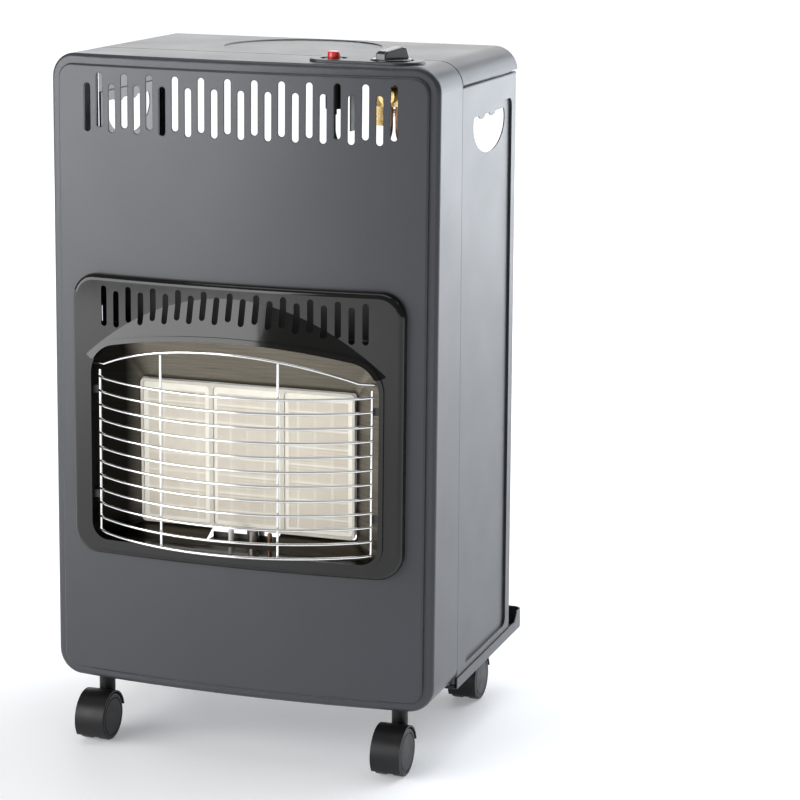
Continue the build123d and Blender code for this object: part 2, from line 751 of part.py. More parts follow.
pilot_pipe = run_tube([(152, -51, 688), (152, -51, 664), (137, -31, 632), (137, -31, 256), (128, -73, 214),
                       (24, -76, 211), (10, -70, 215), (10, -70, 223)], [18, 30, 30, 25, 8, 4], 2.0)
pilot_pipe.part.label = "pilot_pipe"
export_step(pilot_pipe.part, "parts/pilot_pipe.step")

ignition_lead = run_tube([(87.5, -41, 676), (87.5, -41, 650), (127, -30.5, 612), (127, -30.5, 250), (120, -61, 210),
                          (4, -63, 206), (-15, -70, 210), (-15, -70, 221)], [25, 30, 25, 25, 10, 5], 2.0)
ignition_lead.part.label = "ignition_lead"
export_step(ignition_lead.part, "parts/ignition_lead.step")

sensor_lead = run_tube([(163, -29.5, 688), (163, -29.5, 236), (140, -59, 200), (46, -62, 196), (28, -70, 200),
                        (28, -70, 219)], [25, 25, 10, 6], 1.25)
sensor_lead.part.label = "thermocouple_lead"
export_step(sensor_lead.part, "parts/thermocouple_lead.step")

# ---------------------------------------------------------------- burner guard
wire_r = 1.35
guard_z = [401.0 - 14.8 * i for i in range(12)]
cross_wires = []


def guard_y(z):
    return yr - depth_low + (z - z_bottom) * math.tan(lean) - 21.5


def bow_wire(z, end_x, bend_x, step, sag, rise, tail):
    """One bowed wire: short angled ends, a soft bend, and a long round middle that rises by rise."""
    ye = guard_y(z) - yr
    r = (bend_x ** 2 + sag ** 2) / (2 * sag)
    apex = bend_x * bend_x / (r - sag)
    lift = rise * apex / sag
    points = [(-end_x, ye + tail, z), (-bend_x, ye - step, z + rise * 0.1), (0, ye - step - apex, z + lift),
              (bend_x, ye - step, z + rise * 0.1), (end_x, ye + tail, z)]
    stand = math.hypot(apex, lift - rise * 0.1)
    big = 0.94 * math.hypot(bend_x, stand) * bend_x / stand
    return run_tube(points, [4.0, big, 4.0], wire_r).part


for z in guard_z:
    cross_wires.append(bow_wire(z, 150.0, 138.5, 10.0, 38.0, 0.0, 0.0))
top_wire = bow_wire(413.5, 155.8, 139.0, 10.0, 38.0, 28.5, 4.0)

with BuildPart() as guard_cross_wires:
    for wire in cross_wires:
        add(wire)
guard_cross_wires.part.label = "guard_cross_wires"
export_step(guard_cross_wires.part, "parts/guard_cross_wires.step")

with BuildPart() as guard_top_bow:
    add(top_wire)
guard_top_bow.part.label = "guard_top_bow"
export_step(guard_top_bow.part, "parts/guard_top_bow.step")

guard_r = (138.5 ** 2 + 38.0 ** 2) / (2 * 38.0)


def guard_mid_y(x, z):
    return guard_y(z) - 10.0 - 38.0 + (guard_r - math.sqrt(guard_r * guard_r - x * x))


with BuildPart() as guard_uprights:
    for x, z0, z1, end in ((-149.0, 236.5, 408, True), (-63.5, 236.8, 436.5, False), (63.5, 236.8, 436.5, False),
                           (149.0, 236.5, 408, True)):
        if end:
            p0 = (x, guard_y(z0) + 1.0, z0)
            p1 = (x, guard_y(z1) + 1.0, z1)
        else:
            p0 = (x, guard_mid_y(x, z0) + 2.2, z0)
            p1 = (x, guard_mid_y(x, z1) + 2.2, z1)
        with BuildLine(mode=Mode.PRIVATE) as path:
            Line(p0, p1)
        w = path.wires()[0]
        with BuildSketch(Plane(origin=w @ 0, z_dir=w % 0)):
            Circle(wire_r)
        extrude(amount=w.length)
guard_uprights.part.label = "guard_uprights"
export_step(guard_uprights.part, "parts/guard_uprights.step")

with BuildPart() as guard_clips:
    for s in (-1.0, 1.0):
        for z in (275.2, 386.2):
            with BuildSketch(Plane.XY.offset(z - 4)):
                with BuildLine():
                    Polyline((s * 157.5, guard_y(z) + 2.6), (s * 147.0, guard_y(z) + 2.6),
                             (s * 147.0, guard_y(z) + 4.0), (s * 156.1, guard_y(z) + 4.0),
                             (s * 156.1, guard_y(z) + 8.0), (s * 157.5, guard_y(z) + 8.0), close=True)
                make_face()
            extrude(amount=8)
guard_clips.part.label = "guard_clips"
export_step(guard_clips.part, "parts/guard_clips.step")

# ---------------------------------------------------------------- controls
ctl_y = yr + ctl_d
with BuildPart() as escutcheon:
    with BuildSketch(Plane.XY.offset(z_top)):
        with Locations((123.0, ctl_y)):
            RectangleRounded(119.0, 50.0, 24.5)
    extrude(amount=2.8)
    fillet(escutcheon.faces().sort_by(Axis.Z)[-1].edges(), 1.2)
    # round recesses for the knob and the button
    with BuildSketch(Plane.XY.offset(z_top + 1.2)):
        with Locations((knob_x, ctl_y)):
            Circle(22.0)
        with Locations((button_x, ctl_y)):
            Circle(13.6)
    extrude(amount=4, mode=Mode.SUBTRACT)
    with BuildSketch(Plane.XY.offset(z_top)):
        with Locations((button_x, ctl_y)):
            Circle(9.2)
            Circle(6.8, mode=Mode.SUBTRACT)
    extrude(amount=2.4)
    with BuildSketch(Plane.XY.offset(z_top - 1)):
        with Locations((button_x, ctl_y)):
            Circle(6.8)
        with Locations((knob_x, ctl_y)):
            Circle(20.0)
    extrude(amount=8, mode=Mode.SUBTRACT)
escutcheon.part.label = "control_escutcheon"
export_step(escutcheon.part, "parts/control_escutcheon.step")

# knob: a round skirt with a thick grip bar across it, at rest turned 23 degrees from straight ahead
grip = Plane(origin=(knob_x, ctl_y, 0), x_dir=(math.sin(math.radians(23)), math.cos(math.radians(23)), 0),
             z_dir=(math.cos(math.radians(23)), -math.sin(math.radians(23)), 0))
with BuildPart() as knob_skirt:
    with BuildSketch(Plane.XY.offset(z_top + 0.3)):
        with Locations((knob_x, ctl_y)):
            Circle(19.4)
    extrude(amount=4.2)
    fillet(knob_skirt.edges().group_by(Axis.Z)[-1], 1.6)

with BuildPart() as knob:
    with BuildSketch(grip):
        with BuildLine():
            Polyline((-17.6, 733.5), (-17.0, 740.2), (-13.6, 742.4), (9.5, 745.8), (15.0, 744.2), (17.2, 739.0),
                     (17.6, 733.5), close=True)
        make_face()
    extrude(amount=6.6, both=True)
    fillet(knob.edges().filter_by(lambda e: e.center().Z > 736.5), 1.5)
    add(knob_skirt.part)
    with BuildSketch(Plane.XY.offset(729)):
        with Locations((knob_x, ctl_y)):
            Circle(3.05)
    extrude(amount=8, mode=Mode.SUBTRACT)
knob.part.label = "control_knob"
export_step(knob.part, "parts/control_knob.step")

with BuildPart() as knob_shaft:
    with BuildSketch(Plane.XY.offset(706)):
        with Locations((knob_x, ctl_y)):
            Circle(3.0)
    extrude(amount=30)
knob_shaft.part.label = "knob_shaft"
export_step(knob_shaft.part, "parts/knob_shaft.step")

with BuildPart() as valve_plunger:
    with BuildSketch(Plane.XY.offset(711)):
        with Locations((knob_x, ctl_y)):
            Circle(7.0)
            Circle(3.06, mode=Mode.SUBTRACT)
    extrude(amount=7)
valve_plunger.part.label = "valve_plunger"
export_step(valve_plunger.part, "parts/valve_plunger.step")

with BuildPart() as gas_valve:
    with BuildSketch(Plane.XY.offset(688)):
        with Locations((knob_x, ctl_y)):
            RectangleRounded(34, 30, 5)
    extrude(amount=26)
    with BuildSketch(Plane.XY.offset(714)):
        with Locations((knob_x, ctl_y)):
            Circle(10)
    extrude(amount=8)
    with BuildSketch(Plane.XY.offset(701.5)):
        with Locations((knob_x, ctl_y)):
            Circle(7.06)
    extrude(amount=30, mode=Mode.SUBTRACT)
    with BuildSketch(at_depth(ctl_d - 12)):
        with Locations((knob_x + 2, 699)):
            Circle(8.5)
    extrude(amount=10)
gas_valve.part.label = "gas_valve"
export_step(gas_valve.part, "parts/gas_valve.step")

with BuildPart() as valve_bracket:
    with BuildSketch(Plane.XY.offset(722)):
        with Locations((124.5, yr - 30.75)):
            Rectangle(105, 54.5)
        with Locations((knob_x, ctl_y)):
            Circle(7.3, mode=Mode.SUBTRACT)
        with Locations((button_x, ctl_y)):
            Circle(7.2, mode=Mode.SUBTRACT)
    extrude(amount=1.6)
    with BuildSketch(Plane.YZ.offset(110.0)):
        with Locations((ctl_y, 692)):
            Rectangle(30, 61)
    extrude(amount=1.5)
    with BuildSketch(at_depth(-3.5)):
        with Locations((124.5, 716)):
            Rectangle(105, 13.6)
    extrude(amount=1.5)
valve_bracket.part.label = "valve_bracket"
export_step(valve_bracket.part, "parts/valve_bracket.step")

# inlet: an elbow block under the valve with a nozzle that points to the back
inlet_x, inlet_z = knob_x - 9.0, 677.0
with BuildPart() as inlet_nozzle:
    with BuildSketch(Plane.XY.offset(668)):
        with Locations((inlet_x, ctl_y - 3)):
            RectangleRounded(13, 13, 2)
    extrude(amount=20)
    with BuildSketch(at_depth(ctl_d - 3)):
        with Locations((inlet_x, inlet_z)):
            Circle(4.25)
    extrude(amount=-32.5)
    with BuildSketch(at_depth(ctl_d - 5)):
        with Locations((inlet_x, inlet_z)):
            Circle(2.2)
    extrude(amount=-36, mode=Mode.SUBTRACT)
inlet_nozzle.part.label = "inlet_nozzle"
export_step(inlet_nozzle.part, "parts/inlet_nozzle.step")

with BuildPart() as button:
    with BuildSketch(Plane.XY.offset(726.5)):
        with Locations((button_x, ctl_y)):
            Circle(6.3)
    extrude(amount=13.0)
    fillet(button.edges().group_by(Axis.Z)[-1], 1.8)
button.part.label = "igniter_button"
export_step(button.part, "parts/igniter_button.step")

with BuildPart() as piezo:
    with BuildSketch(Plane.XY.offset(682)):
        with Locations((button_x, ctl_y)):
            Circle(8.5)
    extrude(amount=38.0)
    with BuildSketch(Plane.XY.offset(716)):
        with Locations((button_x, ctl_y)):
            RectangleRounded(26, 22, 4)
            Circle(7.2, mode=Mode.SUBTRACT)
    extrude(amount=6)
    with BuildSketch(Plane.XY.offset(720)):
        with Locations((button_x, ctl_y)):
            Circle(7.2)
    extrude(amount=6, mode=Mode.SUBTRACT)
    with BuildSketch(Plane.XY.offset(676)):
        with Locations((button_x, ctl_y)):
            Circle(3.2)
    extrude(amount=6)
piezo.part.label = "piezo_igniter"
export_step(piezo.part, "parts/piezo_igniter.step")

with BuildPart() as screws:
    for s in (-1.0, 1.0):
        with BuildSketch(at_depth(-2.0)):
            with Locations((s * 198.5, 150), (s * 198.5, 420), (s * 198.5, 640)):
                Circle(3.6)
        extrude(amount=-1.7)
        with BuildSketch(at_depth(-2.0)):
            with Locations((s * 198.5, 150), (s * 198.5, 420), (s * 198.5, 640)):
                Circle(1.5)
        extrude(amount=6)
screws.part.label = "frame_screws"
export_step(screws.part, "parts/frame_screws.step")

# ---------------------------------------------------------------- casters
stems = {"front_left": (-caster_x, front_stem_d), "front_right": (caster_x, front_stem_d),
         "rear_left": (-caster_x, rear_stem_d), "rear_right": (caster_x, rear_stem_d)}

with BuildPart() as sockets:
    for cx, cd in stems.values():
        with BuildSketch(Plane.XY.offset(z_bottom + sheet)):
            with Locations((cx, yr + cd)):
                Circle(11)
                Circle(4.06, mode=Mode.SUBTRACT)
        extrude(amount=1.6)
        with BuildSketch(Plane.XY.offset(z_bottom)):
            with Locations((cx, yr + cd)):
                Circle(6.9)
                Circle(4.06, mode=Mode.SUBTRACT)
        extrude(amount=20)
sockets.part.label = "caster_sockets"
export_step(sockets.part, "parts/caster_sockets.step")

for name, (cx, cd) in stems.items():
    sy = yr + cd
    ay = sy - trail
    with BuildPart() as hood:
        # web between the wheels and the hood over them
        with BuildSketch(Plane.YZ.offset(cx - 2.6)):
            with Locations((ay, wheel_r)):
                Circle(24.0)
            with Locations((ay + 10, wheel_r + 14)):
                Rectangle(20, 20)
        extrude(amount=5.2)
        with BuildSketch(Plane.YZ.offset(cx - 16.0)):
            with Locations((ay, wheel_r)):
                Circle(28.0)
                Circle(26.2, mode=Mode.SUBTRACT)
            with Locations((ay, -16)):
                Rectangle(80, 50, mode=Mode.SUBTRACT)
            with Locations((ay + 21, 6)):
                Rectangle(40, 50, mode=Mode.SUBTRACT)
        extrude(amount=32.0)
        with BuildSketch(Plane.YZ.offset(cx - 2.6)):
            with Locations((ay, wheel_r)):
                Circle(27.0)
            with Locations((ay, wheel_r - 22)):
                Rectangle(80, 52, mode=Mode.SUBTRACT)
        extrude(amount=5.2)
        with BuildSketch(Plane.XY.offset(wheel_r + 12)):
            with Locations((cx, sy)):
                Circle(8.5)
        extrude(amount=33.4)
        # room for the wheels, and the axle hole
        for w in (-1.0, 1.0):
            with BuildSketch(Plane.YZ.offset(cx + w * 9.4)):
                with Locations((ay, wheel_r)):
                    Circle(25.9)
            extrude(amount=6.8, both=True, mode=Mode.SUBTRACT)
        with BuildSketch(Plane.YZ.offset(cx)):
            with Locations((ay, wheel_r)):
                Circle(4.06)
        extrude(amount=10, both=True, mode=Mode.SUBTRACT)
        with BuildSketch(Plane.XY.offset(45)):
            with Locations((cx, sy)):
                Circle(4.0)
        extrude(amount=40, mode=Mode.SUBTRACT)
    hood.part.label = "caster_hood_" + name
    export_step(hood.part, "parts/caster_hood_" + name + ".step")

    with BuildPart() as stem:
        with BuildSketch(Plane.XY.offset(45)):
            with Locations((cx, sy)):
                Circle(4.0)
        extrude(amount=44)
        fillet(stem.edges().group_by(Axis.Z)[-1], 1.2)
    stem.part.label = "caster_stem_" + name
    export_step(stem.part, "parts/caster_stem_" + name + ".step")

    with BuildPart() as wheels:
        for w in (-1.0, 1.0):
            with BuildSketch(Plane.YZ.offset(cx + w * 3.2)):
                with Locations((ay, wheel_r)):
                    Circle(wheel_r)
            extrude(amount=w * 12.4)
        fillet(wheels.edges().filter_by(GeomType.CIRCLE), 2.2)
        for w in (-1.0, 1.0):
            with BuildSketch(Plane.YZ.offset(cx + w * 14.8)):
                with Locations((ay, wheel_r)):
                    Circle(20.6)
                    Circle(19.4, mode=Mode.SUBTRACT)
            extrude(amount=w * 5.0, mode=Mode.SUBTRACT)
        with BuildSketch(Plane.YZ.offset(cx)):
            with Locations((ay, wheel_r)):
                Circle(4.0)
        extrude(amount=13, both=True)
    wheels.part.label = "caster_wheels_" + name
    export_step(wheels.part, "parts/caster_wheels_" + name + ".step")
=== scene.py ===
import json
import math

import bpy
from mathutils import Matrix, Vector


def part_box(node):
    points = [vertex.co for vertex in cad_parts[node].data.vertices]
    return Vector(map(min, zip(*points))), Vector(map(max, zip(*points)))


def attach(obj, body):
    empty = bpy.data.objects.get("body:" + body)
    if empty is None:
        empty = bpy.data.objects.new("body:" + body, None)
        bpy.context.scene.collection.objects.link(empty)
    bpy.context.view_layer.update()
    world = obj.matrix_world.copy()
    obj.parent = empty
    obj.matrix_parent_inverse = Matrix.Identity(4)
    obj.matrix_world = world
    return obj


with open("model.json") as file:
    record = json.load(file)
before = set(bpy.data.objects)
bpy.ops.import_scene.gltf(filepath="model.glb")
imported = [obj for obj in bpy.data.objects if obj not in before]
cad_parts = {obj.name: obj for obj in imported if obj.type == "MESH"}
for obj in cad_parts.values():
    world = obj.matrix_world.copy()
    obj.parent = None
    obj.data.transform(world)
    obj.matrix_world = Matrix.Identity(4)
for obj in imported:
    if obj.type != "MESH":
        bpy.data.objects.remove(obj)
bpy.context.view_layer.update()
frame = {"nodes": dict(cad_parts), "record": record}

nodes = frame["nodes"]


# ------------------------------------------------------------------ materials
class Mat:
    """A small wrapper that builds one procedural material."""

    def __init__(self, name, **sockets):
        self.m = bpy.data.materials.new(name)
        self.m.use_nodes = True
        self.t = self.m.node_tree
        self.b = self.t.nodes["Principled BSDF"]
        for key, value in sockets.items():
            self.b.inputs[key.replace("_", " ")].default_value = value
        self.co = self.t.nodes.new("ShaderNodeTexCoord").outputs["Object"]

    def node(self, kind, **props):
        n = self.t.nodes.new(kind)
        for key, value in props.items():
            setattr(n, key, value)
        return n

    def link(self, a, b):
        self.t.links.new(a, b)

    def scaled(self, sx, sy, sz):
        n = self.node("ShaderNodeMapping")
        n.inputs["Scale"].default_value = (sx, sy, sz)
        self.link(self.co, n.inputs["Vector"])
        return n.outputs["Vector"]

    def noise(self, scale, detail=3.0, rough=0.5, vector=None):
        n = self.node("ShaderNodeTexNoise")
        n.inputs["Scale"].default_value = scale
        n.inputs["Detail"].default_value = detail
        n.inputs["Roughness"].default_value = rough
        self.link(vector or self.co, n.inputs["Vector"])
        return n.outputs["Fac"]

    def ramp(self, fac, stops):
        n = self.node("ShaderNodeValToRGB")
        e = n.color_ramp.elements
        while len(e) < len(stops):
            e.new(0.5)
        for i, (p, c) in enumerate(stops):
            e[i].position = p
            e[i].color = (c[0], c[1], c[2], 1.0) if isinstance(c, (tuple, list)) else (c, c, c, 1.0)
        self.link(fac, n.inputs["Fac"])
        return n.outputs["Color"]

    def math(self, op, a, b=None, clamp=False):
        n = self.node("ShaderNodeMath", operation=op)
        n.use_clamp = clamp
        for i, v in enumerate((a, b)):
            if v is None:
                continue
            if isinstance(v, (int, float)):
                n.inputs[i].default_value = v
            else:
                self.link(v, n.inputs[i])
        return n.outputs[0]

    def mix(self, fac, a, b):
        n = self.node("ShaderNodeMix", data_type="RGBA")
        for sock, v in ((n.inputs[0], fac), (n.inputs[6], a), (n.inputs[7], b)):
            if isinstance(v, (int, float)):
                sock.default_value = v
            elif isinstance(v, tuple):
                sock.default_value = (v[0], v[1], v[2], 1.0)
            else:
                self.link(v, sock)
        return n.outputs[2]

    def bump(self, height, strength, distance):
        n = self.node("ShaderNodeBump")
        n.inputs["Strength"].default_value = strength
        n.inputs["Distance"].default_value = distance
        self.link(height, n.inputs["Height"])
        self.link(n.outputs["Normal"], self.b.inputs["Normal"])
        return n

    def colour(self, out):
        self.link(out, self.b.inputs["Base Color"])

    def rough(self, out):
        self.link(out, self.b.inputs["Roughness"])


def paint():
    m = Mat("slate_stove_paint", Specular_IOR_Level=0.5, Coat_Weight=0.18, Coat_Roughness=0.3)
    cloud = m.noise(5.0, 3.0)
    fine = m.noise(900.0, 2.0)
    base = m.ramp(cloud, [(0.3, (0.025, 0.0285, 0.035)), (0.7, (0.030, 0.034, 0.0415))])
    grain = m.ramp(fine, [(0.35, 0.90), (0.65, 1.08)])
    mul = m.node("ShaderNodeMix", data_type="RGBA", blend_type="MULTIPLY")
    mul.inputs[0].default_value = 0.7
    m.link(base, mul.inputs[6])
    m.link(grain, mul.inputs[7])
    m.colour(mul.outputs[2])
    m.rough(m.ramp(m.noise(14.0, 4.0), [(0.3, 0.34), (0.7, 0.39)]))
    m.bump(m.noise(1400.0, 2.0, 0.6), 0.14, 0.0004)
    return m.m


def enamel():
    m = Mat("gloss_black_enamel", Specular_IOR_Level=0.36, Coat_Weight=0.2, Coat_Roughness=0.05)
    m.colour(m.ramp(m.noise(8.0, 3.0), [(0.3, (0.006, 0.0058, 0.0055)), (0.7, (0.010, 0.0095, 0.0088))]))
    m.rough(m.ramp(m.noise(30.0, 3.0), [(0.3, 0.09), (0.7, 0.14)]))
    m.bump(m.noise(55.0, 2.0), 0.05, 0.0006)
    return m.m


def metal(name, lo, hi, r_lo, r_hi, scale=(40.0, 40.0, 40.0), bump=0.05, spangle=0.0):
    m = Mat(name, Metallic=1.0)
    v = m.scaled(*scale)
    streak = m.noise(6.0, 5.0, 0.6, v)
    col = m.ramp(streak, [(0.3, lo), (0.7, hi)])
    if spangle:
        vor = m.node("ShaderNodeTexVoronoi")
        vor.inputs["Scale"].default_value = 90.0
        m.link(m.co, vor.inputs["Vector"])
        grey = m.node("ShaderNodeRGBToBW")
        m.link(vor.outputs["Color"], grey.inputs[0])
        tint = m.ramp(grey.outputs[0], [(0.0, 1.0 - spangle), (1.0, 1.0)])
        mul = m.node("ShaderNodeMix", data_type="RGBA", blend_type="MULTIPLY")
        mul.inputs[0].default_value = 1.0
        m.link(col, mul.inputs[6])
        m.link(tint, mul.inputs[7])
        col = mul.outputs[2]
    m.colour(col)
    m.rough(m.ramp(streak, [(0.3, r_lo), (0.7, r_hi)]))
    m.bump(streak, bump, 0.0004)
    return m.m


def plastic(name, lo, hi, r_lo, r_hi, grain=700.0, bump=0.18, coat=0.0, spec=0.5):
    m = Mat(name, Specular_IOR_Level=spec, Coat_Weight=coat, Coat_Roughness=0.08)
    m.colour(m.ramp(m.noise(35.0, 3.0), [(0.3, lo), (0.7, hi)]))
    m.rough(m.ramp(m.noise(60.0, 4.0), [(0.3, r_lo), (0.7, r_hi)]))
    m.bump(m.noise(grain, 2.0), bump, 0.0003)
    return m.m


def ceramic_plaque(margins):
    """Porous ceramic with rows of small burner holes inside a plain margin."""
    m = Mat("ceramic_" + margins[0], Roughness=0.8, Specular_IOR_Level=0.3)
    _, x0, x1, z0, z1 = margins
    sep = m.node("ShaderNodeSeparateXYZ")
    m.link(m.co, sep.inputs[0])
    x, z = sep.outputs["X"], sep.outputs["Z"]
    pitch = 0.0031

    def cell(value, offset):
        a = m.math("ADD", value, offset)
        a = m.math("DIVIDE", a, pitch)
        a = m.math("FRACT", m.math("ADD", a, 1000.0))
        return m.math("SUBTRACT", a, 0.5)

    def disc(ox, oz, r):
        cx, cz = cell(x, ox), cell(z, oz)
        d = m.math("SQRT", m.math("ADD", m.math("MULTIPLY", cx, cx), m.math("MULTIPLY", cz, cz)))
        n = m.node("ShaderNodeMapRange")
        n.interpolation_type = "SMOOTHSTEP"
        n.inputs["From Min"].default_value = r - 0.07
        n.inputs["From Max"].default_value = r + 0.07
        n.inputs["To Min"].default_value = 1.0
        n.inputs["To Max"].default_value = 0.0
        m.link(d, n.inputs["Value"])
        return n.outputs[0]

    holes = m.math("MAXIMUM", disc(0.0, 0.0, 0.27), disc(pitch / 2, pitch / 2, 0.19))
    inside = m.math("MULTIPLY", m.math("GREATER_THAN", x, x0), m.math("LESS_THAN", x, x1))
    inside = m.math("MULTIPLY", inside, m.math("GREATER_THAN", z, z0))
    inside = m.math("MULTIPLY", inside, m.math("LESS_THAN", z, z1))
    # broader cells: the holes are grouped in small squares, with a plain line between
    def line_gap(value, size, part):
        a = m.math("FRACT", m.math("ADD", m.math("DIVIDE", value, size), 1000.0))
        return m.math("GREATER_THAN", a, part)

    group = m.math("MULTIPLY", line_gap(x, pitch * 6, 0.085), line_gap(z, pitch * 6, 0.085))
    mask = m.math("MULTIPLY", m.math("MULTIPLY", holes, inside), group)
    tone = m.ramp(m.noise(60.0, 4.0), [(0.3, (0.86, 0.82, 0.72)), (0.7, (0.95, 0.92, 0.83))])
    # painted shade: each hole is a dark brown dot in the colour, standing in for the shade inside the hole
    tone_with_painted_hole_shade = m.mix(m.math("MULTIPLY", mask, 0.92), tone, (0.30, 0.20, 0.09))
    m.colour(tone_with_painted_hole_shade)
    inv = m.math("SUBTRACT", 1.0, mask)
    h = m.math("ADD", inv, m.math("MULTIPLY", m.noise(900.0, 3.0), 0.25))
    m.bump(h, 0.55, 0.0005)
    return m.m


steel = {
    "zinc_steel": metal("zinc_sheet", (0.46, 0.47, 0.48), (0.60, 0.61, 0.62), 0.32, 0.46, (40, 40, 40), 0.04, 0.22),
    "stainless": metal("browned_stainless", (0.13, 0.115, 0.09), (0.25, 0.225, 0.185), 0.26, 0.42, (3, 3, 160), 0.10),
    "bright_steel": metal("bright_steel", (0.72, 0.72, 0.71), (0.84, 0.84, 0.83), 0.18, 0.28, (30, 30, 30), 0.03),
    "chrome_wire": metal("chromed_wire", (0.86, 0.86, 0.86), (0.95, 0.95, 0.95), 0.10, 0.17, (60, 60, 60), 0.02),
    "cast_alloy": metal("cast_aluminium", (0.42, 0.42, 0.42), (0.55, 0.55, 0.54), 0.45, 0.6, (60, 60, 60), 0.3),
    "brass": metal("turned_brass", (0.44, 0.31, 0.13), (0.58, 0.43, 0.20), 0.22, 0.34, (20, 20, 200), 0.05),
    "copper_pipe": metal("drawn_copper", (0.56, 0.29, 0.17), (0.72, 0.42, 0.27), 0.24, 0.38, (30, 30, 12), 0.04),
    "body_paint": paint(),
    "black_enamel": enamel(),
    "black_plastic": plastic("moulded_black", (0.006, 0.006, 0.0065), (0.011, 0.011, 0.012), 0.34, 0.46, spec=0.3),
    "knob_plastic": plastic("knob_black", (0.010, 0.010, 0.011), (0.016, 0.016, 0.018), 0.16, 0.24, 400.0, 0.05, 0.4),
    "red_plastic": plastic("button_red", (0.62, 0.012, 0.010), (0.74, 0.020, 0.014), 0.18, 0.26, 400.0, 0.04, 0.5),
    "black_bracket": plastic("bracket_black", (0.014, 0.014, 0.015), (0.026, 0.026, 0.027), 0.4, 0.55, 500.0, 0.25),
    "lead_sleeve": plastic("silicone_sleeve", (0.014, 0.014, 0.014), (0.024, 0.024, 0.024), 0.5, 0.65, 500.0, 0.2),
}


def reflector_with_painted_dark_reflection():
    """Brushed stainless, browned on top, with a painted dark reflection at the left wall and darker towards the
    bottom in the lower tray.
    """
    m = Mat("stainless_with_painted_dark_reflection", Metallic=1.0)
    v = m.scaled(3, 3, 160)
    streak = m.noise(6.0, 5.0, 0.6, v)
    brown = m.ramp(streak, [(0.3, (0.15, 0.135, 0.105)), (0.7, (0.27, 0.245, 0.20))])
    sep = m.node("ShaderNodeSeparateXYZ")
    m.link(m.co, sep.inputs[0])
    # painted dark reflection: the colour is darkened towards the left wall (x below about -0.11)
    side = m.ramp(m.math("ADD", m.math("MULTIPLY", sep.outputs["X"], 10.0), 1.55), [(0.22, 0.05), (0.48, 1.0)])
    # darker towards the bottom: the lower tray is darkened below about z 0.25
    low = m.ramp(m.math("MULTIPLY", m.math("SUBTRACT", sep.outputs["Z"], 0.225), 20.0), [(0.15, 0.22), (0.65, 1.0)])
    both = m.node("ShaderNodeMix", data_type="RGBA", blend_type="MULTIPLY")
    both.inputs[0].default_value = 1.0
    m.link(side, both.inputs[6])
    m.link(low, both.inputs[7])
    mul = m.node("ShaderNodeMix", data_type="RGBA", blend_type="MULTIPLY")
    mul.inputs[0].default_value = 1.0
    m.link(brown, mul.inputs[6])
    m.link(both.outputs[2], mul.inputs[7])
    m.colour(mul.outputs[2])
    m.rough(m.ramp(streak, [(0.3, 0.26), (0.7, 0.42)]))
    m.bump(streak, 0.1, 0.0004)
    return m.m


special = {
    "guard_clips": steel["black_bracket"],
    "reflector": reflector_with_painted_dark_reflection(),
    "plaque_frame": plastic("cream_seal", (0.62, 0.58, 0.50), (0.74, 0.70, 0.62), 0.7, 0.85, 500.0, 0.3, spec=0.25),
    "pilot_bracket": metal("heat_blackened_steel", (0.06, 0.055, 0.05), (0.12, 0.11, 0.10), 0.35, 0.5, (40, 40, 40), 0.1),
    "pilot_burner": metal("pilot_steel", (0.20, 0.19, 0.17), (0.32, 0.30, 0.27), 0.22, 0.36, (40, 40, 40), 0.05),
    "thermocouple": metal("dull_copper", (0.20, 0.12, 0.08), (0.30, 0.19, 0.13), 0.3, 0.42, (40, 40, 40), 0.05),
}

slot_of = {row["node"]: row["material_slot"] for row in frame["record"]["subparts"]}
for name, obj in nodes.items():
    kind = slot_of.get(name)
    if kind == "ceramic":
        if name.startswith("plaque_"):
            lo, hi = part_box(name)
            mat = ceramic_plaque((name, lo[0] + 0.0042, hi[0] - 0.0042, lo[2] + 0.0045, hi[2] - 0.0065))
        else:
            mat = plastic("glazed_white", (0.72, 0.70, 0.66), (0.82, 0.80, 0.76), 0.2, 0.3, 300.0, 0.05, 0.3)
    else:
        mat = steel[kind]
    mat = special.get(name, mat)
    if not obj.material_slots:
        obj.data.materials.append(mat)
    for s in obj.material_slots:
        s.material = mat


# ------------------------------------------------------------------ heat shield behind the surround's slots
def bent_sheet(name, profile, half_width, cheek, material):
    """A folded sheet: a profile of (y, z) points swept along X, with a turned-in cheek at each end."""
    me = bpy.data.meshes.new(name)
    steps = 24
    v, f = [], []
    for i in range(steps + 1):
        x = -half_width + 2 * half_width * i / steps
        v += [(x, y, z) for y, z in profile]
    n = len(profile)
    for i in range(steps):
        for j in range(n - 1):
            a = i * n + j
            f.append((a, a + 1, a + n + 1, a + n))
    for side in (0, steps):
        base = side * n
        x = v[base][0]
        start = len(v)
        v += [(x, y, z) for y, z in cheek]
        f.append(tuple(range(start, start + len(cheek))))
    me.from_pydata(v, [], f)
    o = bpy.data.objects.new(name, me)
    bpy.context.scene.collection.objects.link(o)
    solid = o.modifiers.new("sheet", "SOLIDIFY")
    solid.thickness = 0.0009
    solid.offset = 0.0
    bev = o.modifiers.new("edge", "BEVEL")
    bev.width = 0.0003
    bev.segments = 2
    me.materials.append(material)
    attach(o, "root")
    return o


bent_sheet("burner_heat_shield",
           [(-0.1250, 0.5068), (-0.0900, 0.5068), (-0.0882, 0.5040), (-0.0880, 0.4600), (-0.0880, 0.4060),
            (-0.0925, 0.3990), (-0.1030, 0.3974)],
           0.1690,
           [(-0.1248, 0.5060), (-0.0885, 0.5060), (-0.0885, 0.4650), (-0.1248, 0.4650)],
           steel["black_bracket"])


